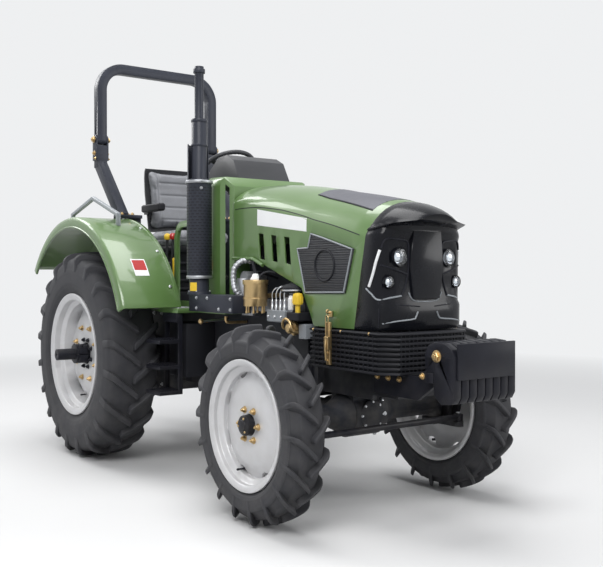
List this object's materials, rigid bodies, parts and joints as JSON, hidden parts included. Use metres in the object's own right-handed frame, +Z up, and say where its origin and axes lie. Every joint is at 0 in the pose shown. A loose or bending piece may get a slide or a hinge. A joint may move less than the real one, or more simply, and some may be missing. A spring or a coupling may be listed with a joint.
{
  "type": "farm tractor",
  "caption": "Four wheel drive farm tractor with open platform, folding roll bar, tilting hood, steered front axle, rear three-point hitch and front weights.",
  "frame": {"origin": "middle of the bounding box, on the ground", "axes": "+X forward, +Y to the driver's left, +Z up"},
  "size_m": [3.98, 1.84, 2.82],
  "materials": {
    "chassis_black": "satin dark enamel on castings",
    "green_paint": "green enamel",
    "mask_black": "gloss black moulding",
    "lamp_lens": "clear lamp lens",
    "tail_red": "red lamp lens",
    "grille_black": "matt black mesh",
    "weight_iron": "black painted iron",
    "rops_grey": "charcoal powder coat",
    "exhaust_black": "heat resistant dark grey",
    "rim_silver": "silver enamel",
    "tyre_rubber": "dark rubber",
    "seat_vinyl": "grey vinyl",
    "dark_plastic": "dark moulded plastic",
    "rail_grey": "grey enamel",
    "floor_plate": "chequered plate",
    "engine_metal": "cast alloy",
    "brass": "yellow zinc plate",
    "bright_steel": "bare steel"
  },
  "bodies": {
    "chassis": {"transmission": "chassis_black", "axle_trumpets": "chassis_black", "engine_block": "chassis_black", "engine_fittings": "engine_metal", "fuel_filter": "brass", "front_support": "chassis_black", "front_axle": "chassis_black", "lower_guard": "grille_black", "weight_bracket": "chassis_black", "front_weights": "weight_iron", "front_plate": "weight_iron", "cowl": "green_paint", "dash": "dark_plastic", "platform": "green_paint", "steps": "chassis_black", "fender_right": "green_paint", "fender_left": "green_paint", "fender_rails": "rail_grey", "seat_base": "dark_plastic", "seat_cushion": "seat_vinyl", "seat_back": "seat_vinyl", "rops_posts": "rops_grey", "exhaust": "exhaust_black", "exhaust_shield": "exhaust_black", "side_tanks": "dark_plastic", "drawbar": "chassis_black", "tail_lamps": "tail_red", "controls": "dark_plastic", "hood_latches": "brass"},
    "hood": {"hood_shell": "green_paint", "hood_mask": "mask_black", "headlamps": "lamp_lens", "side_grilles": "grille_black"},
    "knuckle_right": {"knuckle_right": "chassis_black"},
    "knuckle_left": {"knuckle_left": "chassis_black"},
    "tie_rod": {"tie_rod": "chassis_black"},
    "wheel_front_right": {"front_tyre_right": "tyre_rubber", "front_rim_right": "rim_silver", "front_hub_right": "chassis_black"},
    "wheel_front_left": {"front_tyre_left": "tyre_rubber", "front_rim_left": "rim_silver", "front_hub_left": "chassis_black"},
    "wheel_rear_right": {"rear_tyre_right": "tyre_rubber", "rear_rim_right": "rim_silver", "rear_hub_right": "chassis_black"},
    "wheel_rear_left": {"rear_tyre_left": "tyre_rubber", "rear_rim_left": "rim_silver", "rear_hub_left": "chassis_black"},
    "rops_hoop": {"rops_hoop": "rops_grey"},
    "steering_wheel": {"steering_wheel": "dark_plastic"},
    "rockshaft": {"rockshaft": "chassis_black"},
    "lift_rods": {"lift_rods": "chassis_black"},
    "lower_links": {"lower_links": "chassis_black"},
    "pto_shaft": {"pto_shaft": "bright_steel"}
  },
  "joints": [
    {"name": "steer", "type": "hinge", "parent": "chassis", "child": "knuckle_right", "pos_m": [1.055, -0.56, 0.502], "axis": [0, 0, 1], "range_deg": [-35, 35]},
    {"name": "steer_left", "type": "hinge", "parent": "chassis", "child": "knuckle_left", "pos_m": [1.055, 0.56, 0.502], "axis": [0, 0, 1], "range_deg": [-35, 35]},
    {"name": "tie_rod_pivot", "type": "hinge", "parent": "knuckle_right", "child": "tie_rod", "pos_m": [1.265, -0.56, 0.448], "axis": [0, 0, 1], "range_deg": [-35, 35]},
    {"name": "steering_wheel_turn", "type": "hinge", "parent": "chassis", "child": "steering_wheel", "pos_m": [-0.335, 0, 1.95], "axis": [-0.5736, 0, 0.8192], "range_deg": [-420, 420]},
    {"name": "wheel_front_right_spin", "type": "hinge", "parent": "knuckle_right", "child": "wheel_front_right", "pos_m": [1.055, -0.648, 0.502], "axis": [0, 1, 0], "continuous": true},
    {"name": "wheel_front_left_spin", "type": "hinge", "parent": "knuckle_left", "child": "wheel_front_left", "pos_m": [1.055, 0.648, 0.502], "axis": [0, 1, 0], "continuous": true},
    {"name": "wheel_rear_right_spin", "type": "hinge", "parent": "chassis", "child": "wheel_rear_right", "pos_m": [-1.05, -0.645, 0.705], "axis": [0, 1, 0], "continuous": true},
    {"name": "wheel_rear_left_spin", "type": "hinge", "parent": "chassis", "child": "wheel_rear_left", "pos_m": [-1.05, 0.645, 0.705], "axis": [0, 1, 0], "continuous": true},
    {"name": "hood_tilt", "type": "hinge", "parent": "chassis", "child": "hood", "pos_m": [0.251, 0, 1.738], "axis": [0, -1, 0], "range_deg": [0, 50]},
    {"name": "rops_fold", "type": "hinge", "parent": "chassis", "child": "rops_hoop", "pos_m": [-1.374, 0, 2.24523], "axis": [0, -1, 0], "range_deg": [0, 110]},
    {"name": "hitch_lift", "type": "hinge", "parent": "chassis", "child": "rockshaft", "pos_m": [-1.405, 0, 1.07], "axis": [0, 1, 0], "range_deg": [-15, 35]},
    {"name": "lower_links_swing", "type": "hinge", "parent": "chassis", "child": "lower_links", "pos_m": [-1.29, 0, 0.48], "axis": [0, 1, 0], "range_deg": [-15, 35]},
    {"name": "lift_rods_swing", "type": "hinge", "parent": "rockshaft", "child": "lift_rods", "pos_m": [-1.704, 0, 1.048], "axis": [0, 1, 0], "range_deg": [-35, 15]},
    {"name": "pto_spin", "type": "hinge", "parent": "chassis", "child": "pto_shaft", "pos_m": [-1.39, 0, 0.64], "axis": [1, 0, 0], "continuous": true}
  ],
  "couplings": [
    {"joint": "steer_left", "follows": "steer", "ratio": 1},
    {"joint": "tie_rod_pivot", "follows": "steer", "ratio": -1},
    {"joint": "steering_wheel_turn", "follows": "steer", "ratio": 12},
    {"joint": "lower_links_swing", "follows": "hitch_lift", "ratio": 1},
    {"joint": "lift_rods_swing", "follows": "hitch_lift", "ratio": -1}
  ]
}
